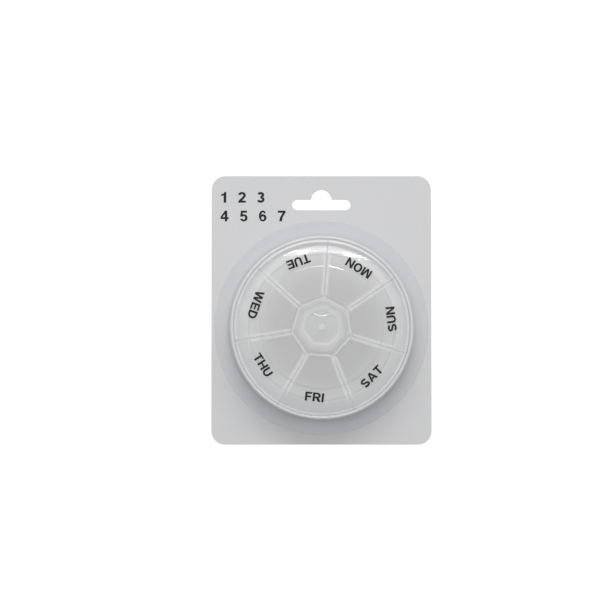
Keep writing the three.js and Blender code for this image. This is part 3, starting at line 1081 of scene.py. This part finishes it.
def hub_painted_light_material(face):
    """Painted shade and light: a darker recess with a lighter edge, and a pip that is lighter, a
    painted highlight, as well as glossier.
    """
    above_floor = (face.center.z - HUB_HIGH.z) / RECESS_DEPTH + 1
    radius = math.hypot(face.center.x - AXIS.x, face.center.y - AXIS.y)
    recess_reach = RECESS_APOTHEM / math.cos(HALF_SECTOR) + RECESS_SLOPE
    if face.center.z < PLATEAU_TOP or radius > recess_reach:
        return HUB
    if radius < PIP_RADIUS:
        return PIP
    low, high = RECESS_EDGE_PAINTED_LIGHT_LEVELS
    if above_floor > low and radius > DOME_RADIUS + DOME_EDGE:
        return RECESS_EDGE_PAINTED_LIGHT
    return RECESS_PAINTED_SHADE if above_floor < high else HUB


def make_hub():
    """The hub plate with its recess, dome, pip and plug."""
    rings = [heptagon_ring(*row) for row in hub_profile()]
    points = sum(rings, [])
    faces = closed_faces(len(rings), len(rings[0]))
    hub = mesh_piece("hub_cover", turned(points, day_angle("lid_fri")), faces,
                     [HUB, RECESS_PAINTED_SHADE, PIP, RECESS_EDGE_PAINTED_LIGHT], "box", smooth_deg=30)
    paint(hub, hub_painted_light_material)
    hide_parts("hub_plate")


# Base

def base_painted_light_material(face):
    """Painted shade and light: darker pocket floors, more see-through walls, and lighter, denser
    tops.
    """
    if face.center.z < BASE_LOW.z + BASE_PAINTED_SHADE_ZONE and abs(face.normal.z) > 0.3:
        return FLOORS_PAINTED_SHADE
    return TOPS_PAINTED_LIGHT if face.normal.z > 0.5 else WALLS


def dress_base():
    """The base keeps its CAD solid, with its edges softened and round sides shaded smooth."""
    base = frame["nodes"]["compartment_base"]
    base.data.materials.clear()
    for material in (FLOORS_PAINTED_SHADE, WALLS, TOPS_PAINTED_LIGHT):
        base.data.materials.append(material)
    # Darker floors are painted shade and lighter tops painted light
    paint(base, base_painted_light_material)
    for face in base.data.polygons:
        face.use_smooth = True
    weld = base.modifiers.new("weld", "WELD")
    weld.merge_threshold = BASE_WELD
    flat = base.modifiers.new("flat", "DECIMATE")
    flat.decimate_type = "DISSOLVE"
    flat.angle_limit = math.radians(BASE_FLAT_DEG)
    soft = base.modifiers.new("soft_edges", "BEVEL")
    soft.width = BASE_BEVEL
    soft.segments = 2
    soft.limit_method = "ANGLE"
    soft.angle_limit = math.radians(BASE_BEVEL_DEG)
    soft.harden_normals = True


# Marks

def squared(x, y, *turns):
    """A contour of level and upright edges: a corner, then the x and the y that its edges run to in
    turn."""
    points = [(x, y)]
    for i, value in enumerate(turns):
        x, y = (x, value) if i % 2 else (value, y)
        points.append((x, y))
    return points


def ring(centre, radii, steps):
    """A whole ellipse as a contour."""
    return arc(centre, radii, 0, 360, steps)[:-1]


def stroke(line, thickness):
    """The outline of a stroke with square ends along a line of points."""
    left, right = [], []
    for i, point in enumerate(line):
        before = Vector(line[max(i - 1, 0)])
        after = Vector(line[min(i + 1, len(line) - 1)])
        along = (after - before).normalized()
        side = Vector((-along.y, along.x)) * thickness / 2
        here = Vector(point)
        left.append(tuple(here + side))
        right.append(tuple(here - side))
    return left + right[::-1]


# Bold capitals and numbers with a cap height of 1, as contours and a width. STEM and BAR are the
# thickness of upright and level strokes, LOW and HIGH the edges of a middle bar
STEM, BAR, LOW, HIGH = 0.235, 0.195, 0.405, 0.59
GLYPHS = {
    "F": ([squared(0, 0, STEM, LOW, 0.68, HIGH, STEM, 1 - BAR, 0.75, 1, 0)], 0.75),
    "E": ([squared(0, 0, 0.79, BAR, STEM, LOW, 0.73, HIGH, STEM, 1 - BAR, 0.77, 1, 0)], 0.79),
    "I": ([squared(0, 0, STEM, 1, 0)], STEM),
    "T": ([squared(0.415 - STEM / 2, 0, 0.415 + STEM / 2, 1 - BAR, 0.83, 1, 0, 1 - BAR,
                   0.415 - STEM / 2)], 0.83),
    "H": ([squared(0, 0, STEM, LOW, 0.86 - STEM, 0, 0.86, 1, 0.86 - STEM, HIGH, STEM, 1, 0)], 0.86),
    "N": ([[(0, 0), (0.22, 0), (0.22, 0.64), (0.63, 0), (0.86, 0), (0.86, 1), (0.64, 1),
            (0.64, 0.36), (0.23, 1), (0, 1)]], 0.86),
    "M": ([[(0, 0), (0.21, 0), (0.21, 0.7), (0.41, 0), (0.63, 0), (0.83, 0.7), (0.83, 0), (1.04, 0),
            (1.04, 1), (0.73, 1), (0.52, 0.33), (0.31, 1), (0, 1)]], 1.04),
    "W": ([[(0, 1), (0.25, 0), (0.49, 0), (0.65, 0.62), (0.81, 0), (1.05, 0), (1.3, 1), (1.06, 1),
            (0.915, 0.36), (0.77, 1), (0.53, 1), (0.385, 0.36), (0.24, 1)]], 1.3),
    "A": ([[(0, 0), (0.245, 0), (0.315, 0.21), (0.665, 0.21), (0.735, 0), (0.98, 0), (0.625, 1),
            (0.355, 1)],
           [(0.375, 0.39), (0.49, 0.76), (0.605, 0.39)]], 0.98),
    "O": ([ring((0.475, 0.5), (0.475, 0.515), 32),
           ring((0.475, 0.5), (0.475 - STEM, 0.515 - BAR), 32)], 0.95),
    "U": ([[(0, 1)] + arc((0.425, 0.38), (0.425, 0.395), 180, 360, 16)
           + [(0.85, 1), (0.85 - STEM, 1)]
           + arc((0.425, 0.38), (0.425 - STEM, 0.395 - BAR), 360, 180, 12) + [(STEM, 1)]], 0.85),
    "D": ([[(0, 0)] + arc((0.38, 0.5), (0.5, 0.5), -90, 90, 16) + [(0, 1)],
           [(STEM, BAR)] + arc((0.38, 0.5), (0.5 - STEM, 0.5 - BAR), -90, 90, 14)
           + [(STEM, 1 - BAR)]], 0.88),
    "R": ([squared(0, 0, STEM, 0.38, 0.38) + [(0.62, 0), (0.9, 0)]
           + arc((0.52, 0.7), (0.35, 0.3), -62, 90, 14) + [(0, 1)],
           [(STEM, 0.57)] + arc((0.49, 0.69), (0.14, 0.12), -90, 90, 12) + [(STEM, 0.81)]], 0.9),
    "S": ([stroke(arc((0.42, 0.705), (0.3, 0.19), 20, 245, 16)
                  + arc((0.42, 0.295), (0.31, 0.19), 62, -160, 16), 0.215)], 0.84),
    "1": ([[(0.28, 0), (0.53, 0), (0.53, 1), (0.35, 1), (0.28, 0.85), (0.06, 0.79), (0.06, 0.62),
            (0.28, 0.68)]], 0.58),
    "2": ([arc((0.36, 0.69), (0.36, 0.315), 170, -42, 16)
           + [(0.38, 0.19), (0.72, 0.19), (0.72, 0), (0, 0), (0.03, 0.17)]
           + arc((0.36, 0.68), (0.13, 0.125), -30, 165, 12)], 0.72),
    "3": ([stroke(arc((0.34, 0.725), (0.22, 0.165), 160, -75, 14)
                  + arc((0.34, 0.29), (0.25, 0.19), 75, -165, 14), 0.22)], 0.7),
    "4": ([squared(0.39, 0, 0.62, 0.21, 0.75, 0.39, 0.62, 1, 0.4)
           + [(0, 0.41), (0, 0.21), (0.39, 0.21)],
           [(0.19, 0.39), (0.39, 0.69), (0.39, 0.39)]], 0.75),
    "5": ([[(0.1, 1), (0.66, 1), (0.66, 1 - BAR), (0.28, 1 - BAR), (0.26, 0.645)]
           + arc((0.36, 0.325), (0.36, 0.34), 100, -165, 18)
           + arc((0.36, 0.325), (0.13, 0.16), -150, 140, 14) + [(0.02, 0.45)]], 0.72),
    "6": ([arc((0.36, 0.5), (0.36, 0.515), 35, 270, 22)
           + arc((0.36, 0.325), (0.36, 0.34), 280, 488, 20)
           + arc((0.38, 0.5), (0.16, 0.34), 165, 40, 12),
           ring((0.36, 0.31), (0.13, 0.155), 20)], 0.72),
    "7": ([[(0, 1), (0.72, 1), (0.72, 0.83), (0.46, 0.4), (0.38, 0), (0.13, 0), (0.22, 0.4),
            (0.46, 0.8), (0, 0.8)]], 0.72),
}


def word_contours(word, cap_height, space=0.3, gap=0.1):
    """Contours of a word on a straight baseline from x = 0, and its width."""
    contours, x = [], 0.0
    for mark in word:
        if mark == " ":
            x += space
            continue
        shapes, width = GLYPHS[mark]
        for shape in shapes:
            contours.append([((x + px) * cap_height, py * cap_height) for px, py in shape])
        x += width + gap
    return contours, (x - gap) * cap_height


def split_long_edges(mesh, length):
    """Edges cut to a length at most, so that thin ink can follow a curved surface."""
    form = bmesh.new()
    form.from_mesh(mesh)
    bmesh.ops.remove_doubles(form, verts=form.verts, dist=WELD_DISTANCE)
    bmesh.ops.triangulate(form, faces=form.faces)
    for _ in range(5):
        long_edges = [edge for edge in form.edges if edge.calc_length() > length]
        if not long_edges:
            break
        bmesh.ops.subdivide_edges(form, edges=long_edges, cuts=1)
        bmesh.ops.triangulate(form, faces=form.faces)
    form.to_mesh(mesh)
    form.free()


def make_day_mark(day):
    """The day's three letters, printed on its lid with their tops towards the hub."""
    body = f"lid_{day}"
    contours, width = word_contours(day.upper(), MARK_CAP_HEIGHT)
    mark = outline_object(f"mark_{day}", contours, INK_THICKNESS)
    split_long_edges(mark.data, INK_GRID)
    angle = day_angle(body) + MARK_TURN
    for vertex in mark.data.vertices:
        radial = MARK_BASELINE - vertex.co.y
        across = vertex.co.x - width / 2
        radius = math.hypot(radial, across)
        x = radial * math.cos(angle) - across * math.sin(angle)
        y = radial * math.sin(angle) + across * math.cos(angle)
        raised = INK_THICKNESS - INK_SINK if vertex.co.z > 0 else -INK_SINK
        vertex.co = (AXIS.x + x, AXIS.y + y, lid_top(radius) + raised)
    finish_piece(mark, [INK], body, smooth_deg=30)


def make_card_marks():
    """Plain numbers on the card where its print is."""
    for row, (text, baseline) in enumerate(zip(CARD_MARK_ROWS, CARD_MARK_BASELINES), 1):
        contours, _ = word_contours(text, CARD_MARK_CAP_HEIGHT, CARD_MARK_SPACE)
        mark = outline_object(f"card_numbers_{row}", contours, INK_THICKNESS)
        height = CARD_HIGH.z + INK_THICKNESS / 2 - INK_SINK
        mark.data.transform(Matrix.Translation((CARD_MARK_LEFT, baseline, height)))
        finish_piece(mark, [INK], "pack", smooth_deg=30)


# Stage

def seen_directly(owner):
    """1 for camera, glossy and transmission rays and 0 for the light that falls on other things."""
    path = add_node(owner, "LightPath", {})
    seen = path.outputs["Is Camera Ray"]
    for ray in ("Is Glossy Ray", "Is Transmission Ray"):
        either = add_node(owner, "Math", {0: seen, 1: path.outputs[ray]}, operation="MAXIMUM")
        seen = either.outputs["Value"]
    return seen


def floor_material():
    """A pale grey that catches shadows, lifted to white where it is seen directly."""
    material = bpy.data.materials.new("floor_white")
    material.use_nodes = True
    material.node_tree.nodes.clear()
    diffuse = add_node(material, "BsdfDiffuse", {"Color": FLOOR_COLOUR})
    glow = add_node(material, "Emission", {"Color": WHITE, "Strength": FLOOR_GLOW})
    seen = seen_directly(material)
    share = add_node(material, "Math", {0: seen, 1: FLOOR_GLOW_SHARE}, operation="MULTIPLY")
    lift = add_node(material, "MixShader", {
        "Fac": share.outputs["Value"], 1: diffuse.outputs["BSDF"], 2: glow.outputs["Emission"]})
    add_node(material, "OutputMaterial", {"Surface": lift.outputs["Shader"]})
    return material


def make_floor():
    """A pale floor that the camera sees as white, with the object's shadow on it."""
    mesh = bpy.data.meshes.new("floor")
    size = FLOOR_HALF_WIDTH
    corners = [(-size, -size, 0), (size, -size, 0), (size, size, 0), (-size, size, 0)]
    mesh.from_pydata(corners, [], [(0, 1, 2, 3)])
    mesh.materials.append(floor_material())
    floor = new_object("floor", mesh)
    floor.location.z = -FLOOR_DROP


def make_world():
    """Soft grey light from all round, seen as white by the camera."""
    world = bpy.data.worlds.new("studio")
    bpy.context.scene.world = world
    world.use_nodes = True
    world.node_tree.nodes.clear()
    fill = add_node(world, "Background", {"Color": WORLD_COLOUR, "Strength": WORLD_STRENGTH})
    white = add_node(world, "Background", {"Color": WHITE})
    mix = add_node(world, "MixShader", {
        "Fac": seen_directly(world), 1: fill.outputs["Background"], 2: white.outputs["Background"]})
    add_node(world, "OutputWorld", {"Surface": mix.outputs["Shader"]})


def make_lights():
    """Two softboxes overhead, and a soft and a narrow one beyond the card's upper edge, all aimed
    at the box."""
    aim = Vector((AXIS.x, AXIS.y, 0))
    for name, direction, distance, size, power in SOFTBOXES:
        light = bpy.data.lights.new(name, "AREA")
        light.shape = "RECTANGLE"
        light.size, light.size_y = size
        light.energy = power
        lamp = new_object(name, light)
        lamp.location = aim + Vector(direction).normalized() * distance
        lamp.rotation_mode = "QUATERNION"
        lamp.rotation_quaternion = (aim - lamp.location).to_track_quat("-Z", "Y")


def make_camera():
    """The photograph's camera: straight above the packet, a little towards its lower edge."""
    data = bpy.data.cameras.new("camera")
    data.sensor_width = SENSOR_WIDTH_MM
    data.lens = FOCAL_PIXELS * SENSOR_WIDTH_MM / IMAGE_PIXELS
    camera = new_object("camera", data)
    camera.location = CAMERA_PLACE
    camera.rotation_euler = (CAMERA_PITCH, 0, 0)
    bpy.context.scene.camera = camera


make_camera()
make_lights()
make_world()
make_floor()
make_card()
make_card_marks()
make_tray()
dress_base()
make_hub()
make_crescent()
lid_plate = lid_shape()
lid_ribs = joined([rib_shape(1), rib_shape(-1)])
web_strip = web_shape()
for day in DAYS:
    make_lid(day, lid_plate, lid_ribs)
    make_web(day, web_strip)
    make_day_mark(day)
bpy.context.scene.view_settings.view_transform = "Standard"
